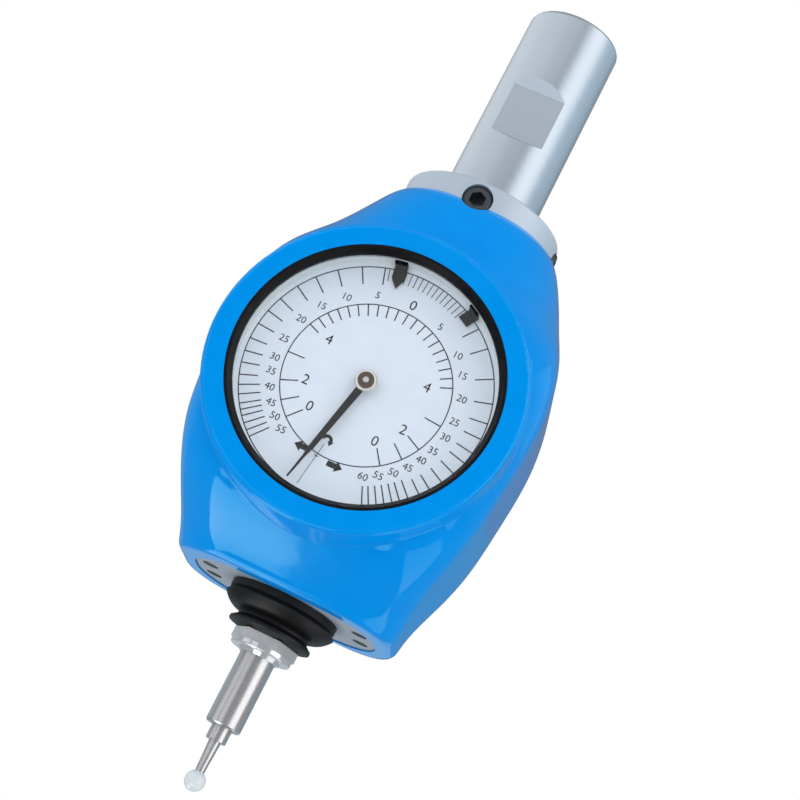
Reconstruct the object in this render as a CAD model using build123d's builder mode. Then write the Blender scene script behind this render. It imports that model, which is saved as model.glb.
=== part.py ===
"""Three-dimensional edge finder: a spindle probe with a dial.

Frame: millimetres. +Z runs up the tool axis from the probe to the shank, and the dial faces -Y.
The origin is the centre of the shank's root, on the collar's top face.
"""
from math import atan2, cos, degrees, hypot, pi, radians, sin, sqrt, tan
import os

from build123d import *

# Shank, with the flat for a side-lock tool holder
shank_d = 20.0
shank_length = 46.0
shank_end_radius = 1.0
shank_root_step = 1.5
shank_seam_turn = 52.5
flat_depth = 1.7
flat_length = 11.5
flat_from_end = 25.0
flat_upper_runout = 2.1
flat_lower_runout = 1.1

# Collar that carries the shank, and the screws in it
collar_d = 33.6
collar_rim = 0.8
collar_depth = 18.0
collar_floor = 3.0
pocket_clearance = 0.25
set_screw_d = 6.0
set_screw_clearance = 0.1
set_screw_z = -4.1
set_screw_chamfer = 0.5
set_screw_socket = 3.0
set_screw_socket_depth = 2.5
set_screws_proud = (-0.35, 0.45, -0.35, -0.35)
clamp_screw_d = 8.0
clamp_screw_grip = 8.0
clamp_hole_spare = 2.0
clamp_head_d = 13.0
clamp_head_height = 7.0
clamp_socket = 6.0
clamp_socket_depth = 3.5
clamp_washer_thickness = 1.0
clamp_counterbore = 3.0
screw_clearance = 0.4

# Housing sections from the top down: height, half width, depths in front of and behind the axis, front
# and back corner radii
housing_top_z = -4.4
housing_bottom_z = -89.4
neck_wall = 0.5
neck_cutback = 1.8
neck_corner_step = 2.0
housing_sections = (
    (
        housing_top_z,
        collar_d / 2 + neck_wall,
        collar_d / 2 - neck_cutback,
        collar_d / 2 + neck_wall,
        collar_d / 2 - neck_corner_step,
        collar_d / 2 - neck_corner_step,
    ),
    (-9.2, 20.6, 19.4, 17.8, 18.0, 15.0),
    (-20.0, 25.2, 24.2, 18.4, 17.0, 15.0),
    (-31.0, 29.1, 31.0, 18.6, 14.0, 15.5),
    (-44.0, 31.0, 34.0, 18.6, 12.0, 16.0),
    (-58.0, 30.0, 34.3, 18.0, 11.0, 15.5),
    (-71.0, 27.9, 33.3, 17.0, 10.0, 14.5),
    (-80.0, 24.8, 28.6, 16.0, 11.0, 13.0),
    (-85.5, 23.1, 20.6, 15.7, 12.0, 12.0),
    (housing_bottom_z, 22.2, 16.2, 15.8, 12.0, 12.0),
)
base_edge_radius = 2.2

# Bezel, and the stack of pieces in its opening, each from the one around it or in front of it
dial_z = -52.6
dial_d = 49.2
bezel_height = 2.3
bezel_wall = 4.3
bezel_edge_radius = 0.9
bezel_foot_radius = 0.8
retaining_ring_thickness = 1.7
retaining_ring_step = 0.4
retaining_ring_width = 1.4
retaining_ring_edge = 0.5
retaining_ring_slope = 1.1
crystal_thickness = 1.5
rim_height = 2.7
rim_wall = 0.85
dial_thickness = 0.5
dial_ledge = 1.6
seat_gap = 0.05

# Probe bore, guide bush, carriage and plunger
bush_wall = 4.0
bush_length = 8.0
bush_flange = 2.0
slide_clearance = 0.05
plunger_d = 8.0
plunger_length = 26.0
plunger_chamfer = 0.5
plunger_bore_d = 4.4
plunger_bore_depth = 13.0
carriage_roof = 4.0
carriage_wall = 1.6
probe_travel = 4.0
return_spring_length = 10.0
return_spring_wire = 1.0
return_spring_turns = 4.0
return_spring_room = 3.0

# Gimbal, lever and the sprung foot that centres it
pivot_height = 7.1
gimbal_gap = 0.9
gimbal_wall = 1.9
gimbal_room = 0.65
gimbal_height = 3.6
pivot_pin_d = 2.0
pivot_pin_clearance = 0.04
pivot_pin_inset = 0.25
knuckle_d = 10.8
pin_seat = 2.0
lever_d = 5.0
lever_thread_d = 3.8
lever_thread_length = 9.0
foot_d = 7.0
foot_thickness = 1.6
foot_play = 2.0
foot_stem_d = 3.6
foot_spring_wire = 0.5
foot_spring_turns = 5.0
foot_spring_length = 9.0
foot_spring_clearance = 0.15

# Base plate
plate_half_width = 18.8
plate_half_depth = 12.3
plate_corner = 11.4
plate_thickness = 3.0
plate_recess = 0.3
plate_gap = 0.15
spigot_d = 19.0
spigot_height = 0.7
spigot_wall = 1.7
plate_screw_x = 15.6
plate_screw_y = 3.6
plate_screw_d = 2.0
plate_screw_head_d = 3.2
plate_screw_head_angle = 90.0
plate_screw_length = 8.0
plate_screw_slot = 0.5

# Bellows boot, as the diameters of its folds and their drops below the plate
boot_root_wall = 1.35
boot_root_height = 1.4
boot_fold_d = 18.6
boot_fold_drop = 3.1
boot_cup_d = 22.6
boot_cup_drop = 2.4
boot_neck_d = 14.4
boot_neck_drop = 5.5
boot_trumpet_out = 1.3
boot_trumpet_up = 1.0
boot_disc_d = 16.8
boot_disc_drop = 6.9
boot_foot_d = 11.2
boot_wall = 0.8
boot_lip = 0.5

# Probe tip
nut_drop = 7.7
nut_across_flats = 11.4
nut_height = 2.0
nut_flange_d = 12.2
nut_flange_height = 1.1
nut_flange_rounding = 0.35
nut_cone_d = 8.6
nut_cone_height = 0.7
nut_cone_taper = 30.0
thread_spare = 0.5
sleeve_d = 7.0
sleeve_length = 14.3
sleeve_chamfer = 0.3
stylus_shoulder_d = 4.0
stylus_shoulder_length = 2.8
stylus_thread_d = 3.0
stylus_thread_length = 4.0
stem_top_d = 2.4
stem_end_d = 1.8
ball_d = 4.0
stem_length = 8.0
ball_peg_d = 1.2
ball_seat = 0.2

# Movement: a rack turns a pinion, whose wheel turns the pinion of the hand
rack_pitch = 1.25
rack_pinion_teeth = 12
wheel_teeth = 60
hand_pinion_teeth = 8
wheel_module = 0.3
wheel_x = -4.0
tooth_addendum = 0.7
tooth_dedendum = 1.1
tooth_root_share = 0.30
tooth_tip_share = 0.09
dial_gap = 1.2
movement_plate = 1.2
movement_gap = 2.0
arbor_d = 1.4
arbor_clearance = 0.03
arbor_end_play = 0.1
dial_hole_clearance = 0.3
pillar_d = 3.6
pillar_inset = 4.0
pillar_angles = (60.0, 180.0, 300.0)
movement_screw_d = 1.6
movement_screw_head_d = 2.8
movement_screw_head = 0.8
movement_screw_grip = 4.0
wheel_gap = 0.4
wheel_thickness = 1.2
rack_pinion_gap = 0.3
rack_pinion_thickness = 3.0
rack_pinion_end_gap = 1.4
rack_inset = 0.3
rack_width = 2.9
rack_teeth_above = 2
rack_teeth_below = 5
rack_above = 3.4
rack_below = 8.0
rack_foot_height = 2.6
rack_foot_seat = 4.0
rack_slot_clearance = 0.7

# Hand and limit markers
hand_rest_angle = 12.3
hand_lift = 1.4
hand_thickness = 0.3
hand_end_gap = 1.45
hand_root_width = 1.5
hand_tip_length = 6.8
hand_step_width = 0.95
hand_neck = 2.2
hand_neck_width = 0.45
hand_tip_width = 0.3
hub_d = 4.1
hub_thickness = 0.5
hub_edge = 0.15
hub_cap_d = 3.0
hub_cap_thickness = 0.35
hub_pin_d = 1.1
marker_angles = {"left": -10.0, "right": 30.0}
marker_points = {"left": 1.9, "right": 0.0}
marker_width = 2.4
marker_length = 2.7
marker_thickness = 0.4
marker_lift = 0.15

# Sizes that follow from the ones above
overrun = 1.0
collar_r = collar_d / 2
shank_r = shank_d / 2
shank_root_r = shank_r - shank_root_step
retaining_ring_d = dial_d + 2 * retaining_ring_step
retaining_opening_d = retaining_ring_d - 2 * retaining_ring_width
bezel_r = retaining_ring_d / 2 + bezel_wall
rim_r = dial_d / 2 - rim_wall
chamber_d = dial_d - 2 * dial_ledge
movement_plate_d = chamber_d - 2 * movement_gap
pillar_ring_r = movement_plate_d / 2 - pillar_inset
bezel_front = max(section[2] for section in housing_sections) + bezel_height
crystal_front = bezel_front - retaining_ring_thickness
crystal_back = crystal_front - crystal_thickness
dial_front = crystal_back - rim_height
dial_back = dial_front - dial_thickness
front_plate_front = dial_back - dial_gap
front_plate_back = front_plate_front - movement_plate
wheel_front = front_plate_back - wheel_gap
wheel_back = wheel_front - wheel_thickness
rack_pinion_front = wheel_back - rack_pinion_gap
rack_front = rack_pinion_front - rack_inset
rack_thickness = rack_pinion_thickness - 2 * rack_inset
rack_back = rack_front - rack_thickness
back_plate_front = rack_pinion_front - rack_pinion_thickness - rack_pinion_end_gap
chamber_depth = back_plate_front - movement_plate
pocket_depth = collar_depth - clamp_counterbore - collar_floor
set_screw_hole_r = set_screw_d / 2 + set_screw_clearance
collar_floor_z = -collar_depth + clamp_counterbore
clamp_head_z = collar_floor_z - clamp_washer_thickness
clamp_head_end_z = clamp_head_z - clamp_head_height
clamp_screw_end_z = clamp_screw_grip - pocket_depth
plate_face_z = housing_bottom_z + plate_recess
plate_top_z = plate_face_z + plate_thickness
spigot_end_z = plate_face_z - spigot_height
boot_root_end_z = plate_face_z - boot_root_height
plate_hole_d = spigot_d - 2 * spigot_wall
plate_screw_r = plate_screw_d / 2
plate_screw_head_r = plate_screw_head_d / 2
plate_screw_head = (plate_screw_head_r - plate_screw_r) / tan(radians(plate_screw_head_angle / 2))
pivot_z = plate_top_z + pivot_height
gimbal_opening_d = knuckle_d + 2 * gimbal_gap
gimbal_d = gimbal_opening_d + 2 * gimbal_wall
carriage_bore_r = gimbal_d / 2 + gimbal_room
carriage_r = carriage_bore_r + carriage_wall
bore_d = 2 * (carriage_r + slide_clearance)
foot_z = pivot_z + knuckle_d / 2
carriage_roof_z = foot_z + foot_thickness + foot_play
carriage_top_z = carriage_roof_z + carriage_roof
bush_face_z = carriage_top_z + return_spring_length
bore_top_z = bush_face_z + bush_flange
bush_top_z = bore_top_z + bush_length
bush_d = plunger_d + 2 * bush_wall
return_spring_d = bore_d - 2 * return_spring_room
foot_spring_top_z = carriage_top_z + plunger_bore_depth
foot_stem_top_z = foot_spring_top_z - foot_spring_length
boot_root_d = spigot_d + 2 * (seat_gap + boot_root_wall)
boot_fold_z = plate_face_z - boot_fold_drop
boot_cup_z = plate_face_z - boot_cup_drop
boot_neck_z = plate_face_z - boot_neck_drop
boot_disc_z = plate_face_z - boot_disc_drop
nut_top_z = plate_face_z - nut_drop
nut_flange_z = nut_top_z - nut_height
nut_cone_z = nut_flange_z - nut_flange_height
sleeve_top_z = nut_cone_z - nut_cone_height
sleeve_end_z = sleeve_top_z - sleeve_length
thread_end_z = nut_top_z - lever_thread_length
stylus_shoulder_z = sleeve_end_z - stylus_shoulder_length
stylus_thread_z = sleeve_end_z + stylus_thread_length
ball_z = stylus_shoulder_z - stem_length
peg_z = ball_z + ball_d / 2 - ball_seat
rack_module = rack_pitch / pi
rack_pinion_r = rack_module * rack_pinion_teeth / 2
wheel_r = wheel_module * wheel_teeth / 2
hand_pinion_r = wheel_module * hand_pinion_teeth / 2
wheel_z = dial_z - sqrt((wheel_r + hand_pinion_r) ** 2 - wheel_x**2)
rack_pitch_x = wheel_x + rack_pinion_r
rack_tip_x = rack_pitch_x - tooth_addendum * rack_module
rack_root_x = rack_pitch_x + tooth_dedendum * rack_module
rack_back_x = rack_pitch_x + rack_width
rack_foot_x = (rack_root_x + rack_back_x) / 2
rack_foot_width = rack_back_x - rack_root_x
rack_top_z = wheel_z + rack_above
rack_bottom_z = wheel_z - rack_below
rack_foot_z = rack_bottom_z + rack_foot_height / 2
rack_slot_z = rack_foot_z + probe_travel / 2
rack_slot_width = rack_foot_width + 2 * rack_slot_clearance
rack_slot_height = rack_foot_height + probe_travel + 2 * rack_slot_clearance
rack_seat_depth = carriage_r - rack_foot_seat
movement_screw_end = chamber_depth - movement_screw_grip + arbor_end_play
arbor_r = arbor_d / 2
arbor_back = chamber_depth + arbor_end_play
arbor_front = front_plate_front - arbor_end_play
hand_back = dial_front + hand_lift
hand_front = hand_back + hand_thickness
hand_length = rim_r - hand_end_gap
hand_step = hand_length - hand_tip_length
hub_front = hand_front + hub_thickness
hub_cap_front = hub_front + hub_cap_thickness
marker_end_x = rim_r - marker_length
marker_back = dial_front + marker_lift
plate_screw_spots = [(x, y) for x in (-plate_screw_x, plate_screw_x) for y in (-plate_screw_y, plate_screw_y)]
pillar_turns = [radians(angle) for angle in pillar_angles]
pillar_spots = [(pillar_ring_r * cos(turn), pillar_ring_r * sin(turn)) for turn in pillar_turns]
from_base = (Align.CENTER, Align.CENTER, Align.MIN)
pivot_along_x = Plane(origin=(0, 0, pivot_z), z_dir=(1, 0, 0))
pivot_along_y = Plane(origin=(0, 0, pivot_z), z_dir=(0, 1, 0))

os.makedirs("parts", exist_ok=True)


def save(part, name):
    """Label a finished piece and write its file."""
    part.label = name
    export_step(part, f"parts/{name}.step")


def facing(depth, x=0.0, z=dial_z):
    """A plane parallel to the dial, that far in front of the tool axis."""
    return Plane(origin=(x, -depth, z), x_dir=(1, 0, 0), z_dir=(0, -1, 0))


def pointing(angle, depth):
    """A plane parallel to the dial whose x runs out from its centre, clockwise from twelve o'clock."""
    out = (sin(radians(angle)), 0, cos(radians(angle)))
    return Plane(origin=(0, -depth, dial_z), x_dir=out, z_dir=(0, -1, 0))


def collar_side(side, radius=0.0):
    """A plane at the set screws' height, facing out on one of the collar's four sides."""
    turn = side * pi / 2
    return Plane(origin=(0, 0, set_screw_z), z_dir=(sin(turn), -cos(turn), 0)).offset(radius)


def rod(radius, bottom_z, top_z, mode=Mode.ADD):
    """Turn or bore a cylinder on the tool axis, between two heights."""
    with Locations((0, 0, bottom_z)):
        Cylinder(radius, top_z - bottom_z, align=from_base, mode=mode)


def disc(radius, front, back, x=0.0, z=dial_z, mode=Mode.ADD):
    """Turn or bore a cylinder parallel to the dial's axis, from its front depth to its back depth."""
    with Locations(facing(back, x, z)):
        Cylinder(radius, front - back, align=from_base, mode=mode)


def coil(mean_d, wire, turns, bottom_z, top_z):
    """A compression spring on the tool axis that fills the space between two heights."""
    rise = top_z - bottom_z - wire
    start = (0, 0, bottom_z + wire / 2)
    with BuildPart() as spring:
        with BuildLine():
            path = Helix(pitch=rise / turns, height=rise, radius=mean_d / 2, center=start)
        with BuildSketch(Plane(origin=path @ 0, z_dir=path % 0)):
            Circle(wire / 2)
        sweep()
    return spring.part


def tooth_outline(teeth, module, first_tooth):
    """Corners of a wheel's straight-sided teeth; a tooth stands at the angle first_tooth, in degrees."""
    root_r = module * (teeth / 2 - tooth_dedendum)
    tip_r = module * (teeth / 2 + tooth_addendum)
    step = 2 * pi / teeth
    corners = []
    for tooth in range(teeth):
        middle = radians(first_tooth) + tooth * step
        for turn, radius in (
            (middle - tooth_root_share * step, root_r),
            (middle - tooth_tip_share * step, tip_r),
            (middle + tooth_tip_share * step, tip_r),
            (middle + tooth_root_share * step, root_r),
        ):
            corners.append((radius * cos(turn), radius * sin(turn)))
    return corners


def rack_outline():
    """Corners of the rack, its teeth towards -X and meshed with the pinion at rest."""
    corners = [(rack_root_x, rack_bottom_z), (rack_back_x, rack_bottom_z)]
    corners += [(rack_back_x, rack_top_z), (rack_root_x, rack_top_z)]
    for tooth in range(rack_teeth_above, -rack_teeth_below - 1, -1):
        middle_z = wheel_z + (tooth + 0.5) * rack_pitch
        corners += [
            (rack_root_x, middle_z + tooth_root_share * rack_pitch),
            (rack_tip_x, middle_z + tooth_tip_share * rack_pitch),
            (rack_tip_x, middle_z - tooth_tip_share * rack_pitch),
            (rack_root_x, middle_z - tooth_root_share * rack_pitch),
        ]
    return corners


# Shank: ground cylinder with a rounded end, the clamping flat on the dial side, and a thinner root
with BuildPart() as shank:
    # The cylinder's seam is turned away from the flat
    with Locations(Location((0, 0, 0), (0, 0, shank_seam_turn))):
        Cylinder(shank_r, shank_length, align=from_base)
    fillet(shank.edges().group_by(Axis.Z)[-1], shank_end_radius)
    flat_y = flat_depth - shank_r
    flat_top_z = shank_length - flat_from_end + flat_length / 2
    flat_end_z = flat_top_z - flat_length
    with BuildSketch(Plane.YZ):
        Polygon(
            (flat_y, flat_end_z),
            (flat_y, flat_top_z),
            (flat_y - 2 * flat_depth, flat_top_z + 2 * flat_upper_runout),
            (flat_y - 2 * flat_depth, flat_end_z - 2 * flat_lower_runout),
            align=None,
        )
    extrude(amount=shank_r, both=True, mode=Mode.SUBTRACT)
    rod(shank_root_r, -pocket_depth, 0)
    rod(clamp_screw_d / 2 + seat_gap, -pocket_depth, clamp_screw_end_z + clamp_hole_spare, Mode.SUBTRACT)
save(shank.part, "shank")

# Collar: the shank's root stands in its pocket, centred by four radial screws
with BuildPart() as collar:
    rod(collar_r, -collar_depth, 0)
    fillet(collar.edges().group_by(Axis.Z)[-1], collar_rim)
    rod(shank_root_r + pocket_clearance, -pocket_depth, overrun, Mode.SUBTRACT)
    rod(clamp_screw_d / 2 + screw_clearance, collar_floor_z, -pocket_depth, Mode.SUBTRACT)
    rod(clamp_head_d / 2 + screw_clearance, -collar_depth, collar_floor_z, Mode.SUBTRACT)
    for side in range(4):
        with BuildSketch(collar_side(side)):
            Circle(set_screw_hole_r)
        extrude(amount=collar_d, mode=Mode.SUBTRACT)
save(collar.part, "collar")


def set_screw(side, proud):
    """A headless screw with a hex socket, its tip on the shank's root."""
    length = collar_r + proud - shank_root_r
    with BuildPart() as screw:
        with Locations(collar_side(side, shank_root_r)):
            Cylinder(set_screw_d / 2, length, align=from_base)
        chamfer(screw.edges().filter_by(GeomType.CIRCLE), set_screw_chamfer)
        with BuildSketch(collar_side(side, collar_r + proud)):
            RegularPolygon(set_screw_socket / 2, 6, major_radius=False)
        extrude(amount=-set_screw_socket_depth, mode=Mode.SUBTRACT)
    return screw.part


with BuildPart() as set_screws:
    for side, proud in enumerate(set_screws_proud):
        add(set_screw(side, proud))
save(set_screws.part, "set_screws")

# Clamp screw that draws the shank down into the collar, with its washer
with BuildPart() as clamp_screw:
    rod(clamp_head_d / 2, clamp_head_end_z, clamp_head_z)
    rod(clamp_screw_d / 2, clamp_head_z, clamp_screw_end_z)
    with BuildSketch(Plane.XY.offset(clamp_head_end_z)):
        RegularPolygon(clamp_socket / 2, 6, major_radius=False)
    extrude(amount=clamp_socket_depth, mode=Mode.SUBTRACT)
save(clamp_screw.part, "clamp_screw")

with BuildPart() as clamp_washer:
    rod(clamp_head_d / 2, clamp_head_z, collar_floor_z)
    rod(clamp_screw_d / 2 + screw_clearance, clamp_head_z, collar_floor_z, Mode.SUBTRACT)
save(clamp_washer.part, "clamp_washer")


def on_bezel_side(edge):
    """True for an edge that lies on the bezel's outer cylinder, behind its front face."""
    middle = edge @ 0.5
    return abs(hypot(middle.X, middle.Z - dial_z) - bezel_r) < seat_gap and middle.Y > seat_gap - bezel_front


# Housing: a casting lofted through its sections, with the bezel standing on its front
with BuildPart() as housing:
    for height, half_width, front, back, front_corner, back_corner in housing_sections:
        with BuildSketch(Plane.XY.offset(height)) as section:
            with Locations((0, (back - front) / 2)):
                Rectangle(2 * half_width, front + back)
            fillet(section.vertices().group_by(Axis.Y)[0], front_corner)
            fillet(section.vertices().group_by(Axis.Y)[-1], back_corner)
    loft()
    fillet(housing.edges().group_by(Axis.Z)[0], base_edge_radius)
    disc(bezel_r, bezel_front, 0)
    fillet(housing.edges().filter_by(on_bezel_side), bezel_foot_radius)
    fillet(housing.faces().sort_by(Axis.Y)[0].edges(), bezel_edge_radius)
    # Opening for the dial, stepped for the retaining ring, the crystal and dial, and the movement
    disc(retaining_ring_d / 2 + seat_gap, bezel_front + overrun, crystal_front, mode=Mode.SUBTRACT)
    disc(dial_d / 2 + seat_gap, crystal_front, dial_back, mode=Mode.SUBTRACT)
    disc(chamber_d / 2, dial_back, chamber_depth, mode=Mode.SUBTRACT)
    # Bores along the axis for the collar, the plunger's bush and the carriage
    rod(collar_r + seat_gap, -collar_depth, overrun, Mode.SUBTRACT)
    rod(bush_d / 2 + seat_gap, bore_top_z, -collar_depth, Mode.SUBTRACT)
    rod(bore_d / 2, housing_bottom_z - overrun, bore_top_z, Mode.SUBTRACT)
    # Notches in the rim through which a key reaches the set screws
    for side in range(4):
        with BuildSketch(collar_side(side)):
            Circle(set_screw_hole_r)
        extrude(amount=collar_d, mode=Mode.SUBTRACT)
    # Slot through which the carriage carries the rack
    with BuildSketch(facing(rack_seat_depth, rack_foot_x, rack_slot_z)):
        Rectangle(rack_slot_width, rack_slot_height)
    extrude(amount=chamber_depth - rack_seat_depth, mode=Mode.SUBTRACT)
    # Recess and screw holes for the base plate
    with BuildSketch(Plane.XY.offset(housing_bottom_z)):
        recess = RectangleRounded(2 * plate_half_width, 2 * plate_half_depth, plate_corner)
        offset(recess, amount=plate_gap)
    extrude(amount=plate_top_z - housing_bottom_z, mode=Mode.SUBTRACT)
    with BuildSketch(Plane.XY.offset(plate_top_z)):
        with Locations(*plate_screw_spots):
            Circle(plate_screw_r + seat_gap)
    extrude(amount=plate_screw_length, mode=Mode.SUBTRACT)
    # Holes for the movement's screws
    with BuildSketch(facing(chamber_depth)):
        with Locations(*pillar_spots):
            Circle(movement_screw_d / 2 + seat_gap)
    extrude(amount=-movement_screw_grip, mode=Mode.SUBTRACT)
save(housing.part, "housing")

# Base plate: closes the probe bore, and its spigot carries the boot
with BuildPart() as base_plate:
    with BuildSketch(Plane.XY.offset(plate_face_z)):
        RectangleRounded(2 * plate_half_width, 2 * plate_half_depth, plate_corner)
    extrude(amount=plate_thickness)
    rod(spigot_d / 2, spigot_end_z, plate_face_z)
    rod(plate_hole_d / 2, spigot_end_z, plate_top_z, Mode.SUBTRACT)
    with Locations(Plane(origin=(0, 0, plate_face_z), z_dir=(0, 0, -1))):
        with Locations(*plate_screw_spots):
            CounterSinkHole(
                plate_screw_r + seat_gap,
                plate_screw_head_r + seat_gap,
                counter_sink_angle=plate_screw_head_angle,
            )
save(base_plate.part, "base_plate")

# Countersunk screws with a slot, their heads level with the plate
with BuildPart() as plate_screws:
    with Locations((0, 0, plate_face_z)):
        with Locations(*plate_screw_spots):
            Cone(plate_screw_head_r, plate_screw_r, plate_screw_head, align=from_base)
            Cylinder(plate_screw_r, plate_screw_length, align=from_base)
            Box(plate_screw_head_d, plate_screw_slot, 2 * plate_screw_slot, mode=Mode.SUBTRACT)
save(plate_screws.part, "plate_screws")

# Boot: a thin rubber skin with a root on the spigot, a wide cup, a neck and a small disc
with BuildPart() as boot:
    root_r = boot_root_d / 2
    cup_r = boot_cup_d / 2
    neck_r = boot_neck_d / 2
    disc_r = boot_disc_d / 2
    seat_r = spigot_d / 2 + seat_gap
    hole_r = lever_d / 2 + seat_gap
    root_z = plate_face_z - seat_gap
    with BuildSketch(Plane.XZ):
        with BuildLine():
            root = Polyline(
                (seat_r, root_z),
                (root_r, root_z),
                (root_r, boot_root_end_z),
                (boot_fold_d / 2, boot_fold_z),
                (cup_r - boot_lip, boot_cup_z + boot_lip),
                (cup_r, boot_cup_z),
            )
            trumpet = Spline(
                root @ 1,
                (neck_r + boot_trumpet_out, boot_neck_z + boot_trumpet_up),
                (neck_r, boot_neck_z),
                tangents=[(-boot_trumpet_up, -boot_trumpet_out), (0, -1)],
            )
            Polyline(
                trumpet @ 1,
                (disc_r, boot_disc_z + boot_lip),
                (disc_r, boot_disc_z),
                (boot_foot_d / 2, nut_top_z),
                (hole_r, nut_top_z),
                (hole_r, nut_top_z + boot_wall),
                (neck_r - boot_wall, boot_neck_z - boot_lip),
                (neck_r - boot_wall, boot_neck_z + boot_lip),
                (boot_fold_d / 2 - boot_wall, boot_fold_z),
                (seat_r, spigot_end_z),
                root @ 0,
            )
        make_face()
    revolve(axis=Axis.Z)
save(boot.part, "boot")

# Guide bush, return spring, carriage and plunger
with BuildPart() as guide_bush:
    rod(carriage_r, bush_face_z, bore_top_z)
    rod(bush_d / 2, bore_top_z, bush_top_z)
    rod(plunger_d / 2 + slide_clearance, bush_face_z, bush_top_z, Mode.SUBTRACT)
save(guide_bush.part, "guide_bush")

return_spring = coil(return_spring_d, return_spring_wire, return_spring_turns, carriage_top_z, bush_face_z)
save(return_spring, "return_spring")

with BuildPart() as carriage:
    rod(carriage_r, plate_top_z, carriage_top_z)
    rod(carriage_bore_r, plate_top_z, carriage_roof_z, Mode.SUBTRACT)
    rod(foot_stem_d / 2 + slide_clearance, carriage_roof_z, carriage_top_z, Mode.SUBTRACT)
    with Locations(pivot_along_x):
        Cylinder(pivot_pin_d / 2 + pivot_pin_clearance, bore_d, mode=Mode.SUBTRACT)
    with BuildSketch(facing(rack_seat_depth, rack_foot_x, rack_foot_z)):
        Rectangle(rack_foot_width, rack_foot_height)
    extrude(amount=rack_foot_seat + overrun, mode=Mode.SUBTRACT)
save(carriage.part, "carriage")

with BuildPart() as plunger:
    rod(plunger_d / 2, carriage_top_z, carriage_top_z + plunger_length)
    chamfer(plunger.edges().group_by(Axis.Z)[-1], plunger_chamfer)
    rod(plunger_bore_d / 2, carriage_top_z, foot_spring_top_z, Mode.SUBTRACT)
save(plunger.part, "plunger")

# Sprung foot that bears on the lever's ball
with BuildPart() as pressure_foot:
    rod(foot_d / 2, foot_z, foot_z + foot_thickness)
    rod(foot_stem_d / 2, foot_z + foot_thickness, foot_stem_top_z)
save(pressure_foot.part, "pressure_foot")

foot_spring_d = plunger_bore_d - foot_spring_wire - 2 * foot_spring_clearance
foot_spring = coil(foot_spring_d, foot_spring_wire, foot_spring_turns, foot_stem_top_z, foot_spring_top_z)
save(foot_spring, "foot_spring")

# Gimbal ring with pins along X into the carriage and pins along Y into the lever's ball
with BuildPart() as gimbal_ring:
    rod(gimbal_d / 2, pivot_z - gimbal_height / 2, pivot_z + gimbal_height / 2)
    rod(gimbal_opening_d / 2, pivot_z - gimbal_height, pivot_z + gimbal_height, Mode.SUBTRACT)
    with Locations(pivot_along_x):
        Cylinder(pivot_pin_d / 2, bore_d, mode=Mode.SUBTRACT)
    with Locations(pivot_along_y):
        Cylinder(pivot_pin_d / 2 + pivot_pin_clearance, bore_d, mode=Mode.SUBTRACT)
save(gimbal_ring.part, "gimbal_ring")


def pin_pair(along, inner_r, outer_r):
    """Two pivot pins on one line through the pivot, on the normal of the given plane."""
    with BuildPart() as pins:
        with Locations(along.offset(inner_r), along.offset(-outer_r)):
            Cylinder(pivot_pin_d / 2, outer_r - inner_r, align=from_base)
    return pins.part


save(pin_pair(pivot_along_x, gimbal_opening_d / 2, carriage_r - pivot_pin_inset), "gimbal_pins")
save(pin_pair(pivot_along_y, knuckle_d / 2 - pin_seat, gimbal_d / 2 - pivot_pin_inset), "lever_pins")

# Lever: the ball in the gimbal, the rod through the boot and the thread for the probe
with BuildPart() as lever:
    with Locations(pivot_along_y):
        Sphere(knuckle_d / 2)
        Cylinder(pivot_pin_d / 2, bore_d, mode=Mode.SUBTRACT)
        Cylinder(pivot_pin_d / 2, knuckle_d - 2 * pin_seat)
    rod(lever_d / 2, nut_top_z, pivot_z - pivot_pin_d)
    rod(lever_thread_d / 2, thread_end_z, nut_top_z)
save(lever.part, "lever")

# Nut that clamps the boot, with its flange and cone
with BuildPart() as probe_nut:
    with BuildSketch(Plane.XY.offset(nut_flange_z)):
        RegularPolygon(nut_across_flats / 2, 6, major_radius=False)
    extrude(amount=nut_height)
    rod(nut_flange_d / 2, nut_cone_z, nut_flange_z)
    fillet(probe_nut.edges().group_by(Axis.Z)[0], nut_flange_rounding)
    with BuildSketch(Plane.XY.offset(nut_cone_z)):
        Circle(nut_cone_d / 2)
    extrude(amount=-nut_cone_height, taper=nut_cone_taper)
    rod(lever_thread_d / 2 + seat_gap, sleeve_top_z, nut_top_z, Mode.SUBTRACT)
save(probe_nut.part, "probe_nut")

# Sleeve that holds the stylus
with BuildPart() as probe_sleeve:
    rod(sleeve_d / 2, sleeve_end_z, sleeve_top_z)
    chamfer(probe_sleeve.edges().group_by(Axis.Z)[0], sleeve_chamfer)
    rod(lever_thread_d / 2 + seat_gap, thread_end_z - thread_spare, sleeve_top_z, Mode.SUBTRACT)
    rod(stylus_thread_d / 2 + seat_gap, sleeve_end_z, stylus_thread_z + thread_spare, Mode.SUBTRACT)
save(probe_sleeve.part, "probe_sleeve")

# Stylus: thread, shoulder and tapered stem, with the ball on a peg
with BuildPart() as stylus_stem:
    rod(ball_peg_d / 2, ball_z, peg_z)
    with Locations((0, 0, peg_z)):
        Cone(stem_end_d / 2, stem_top_d / 2, stylus_shoulder_z - peg_z, align=from_base)
    rod(stylus_shoulder_d / 2, stylus_shoulder_z, sleeve_end_z)
    rod(stylus_thread_d / 2, sleeve_end_z, stylus_thread_z)
save(stylus_stem.part, "stylus_stem")

with BuildPart() as stylus_ball:
    with Locations((0, 0, ball_z)):
        Sphere(ball_d / 2)
    rod(ball_peg_d / 2, ball_z, peg_z, Mode.SUBTRACT)
    rod(stem_top_d / 2, peg_z, ball_z + ball_d, Mode.SUBTRACT)
save(stylus_ball.part, "stylus_ball")

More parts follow.
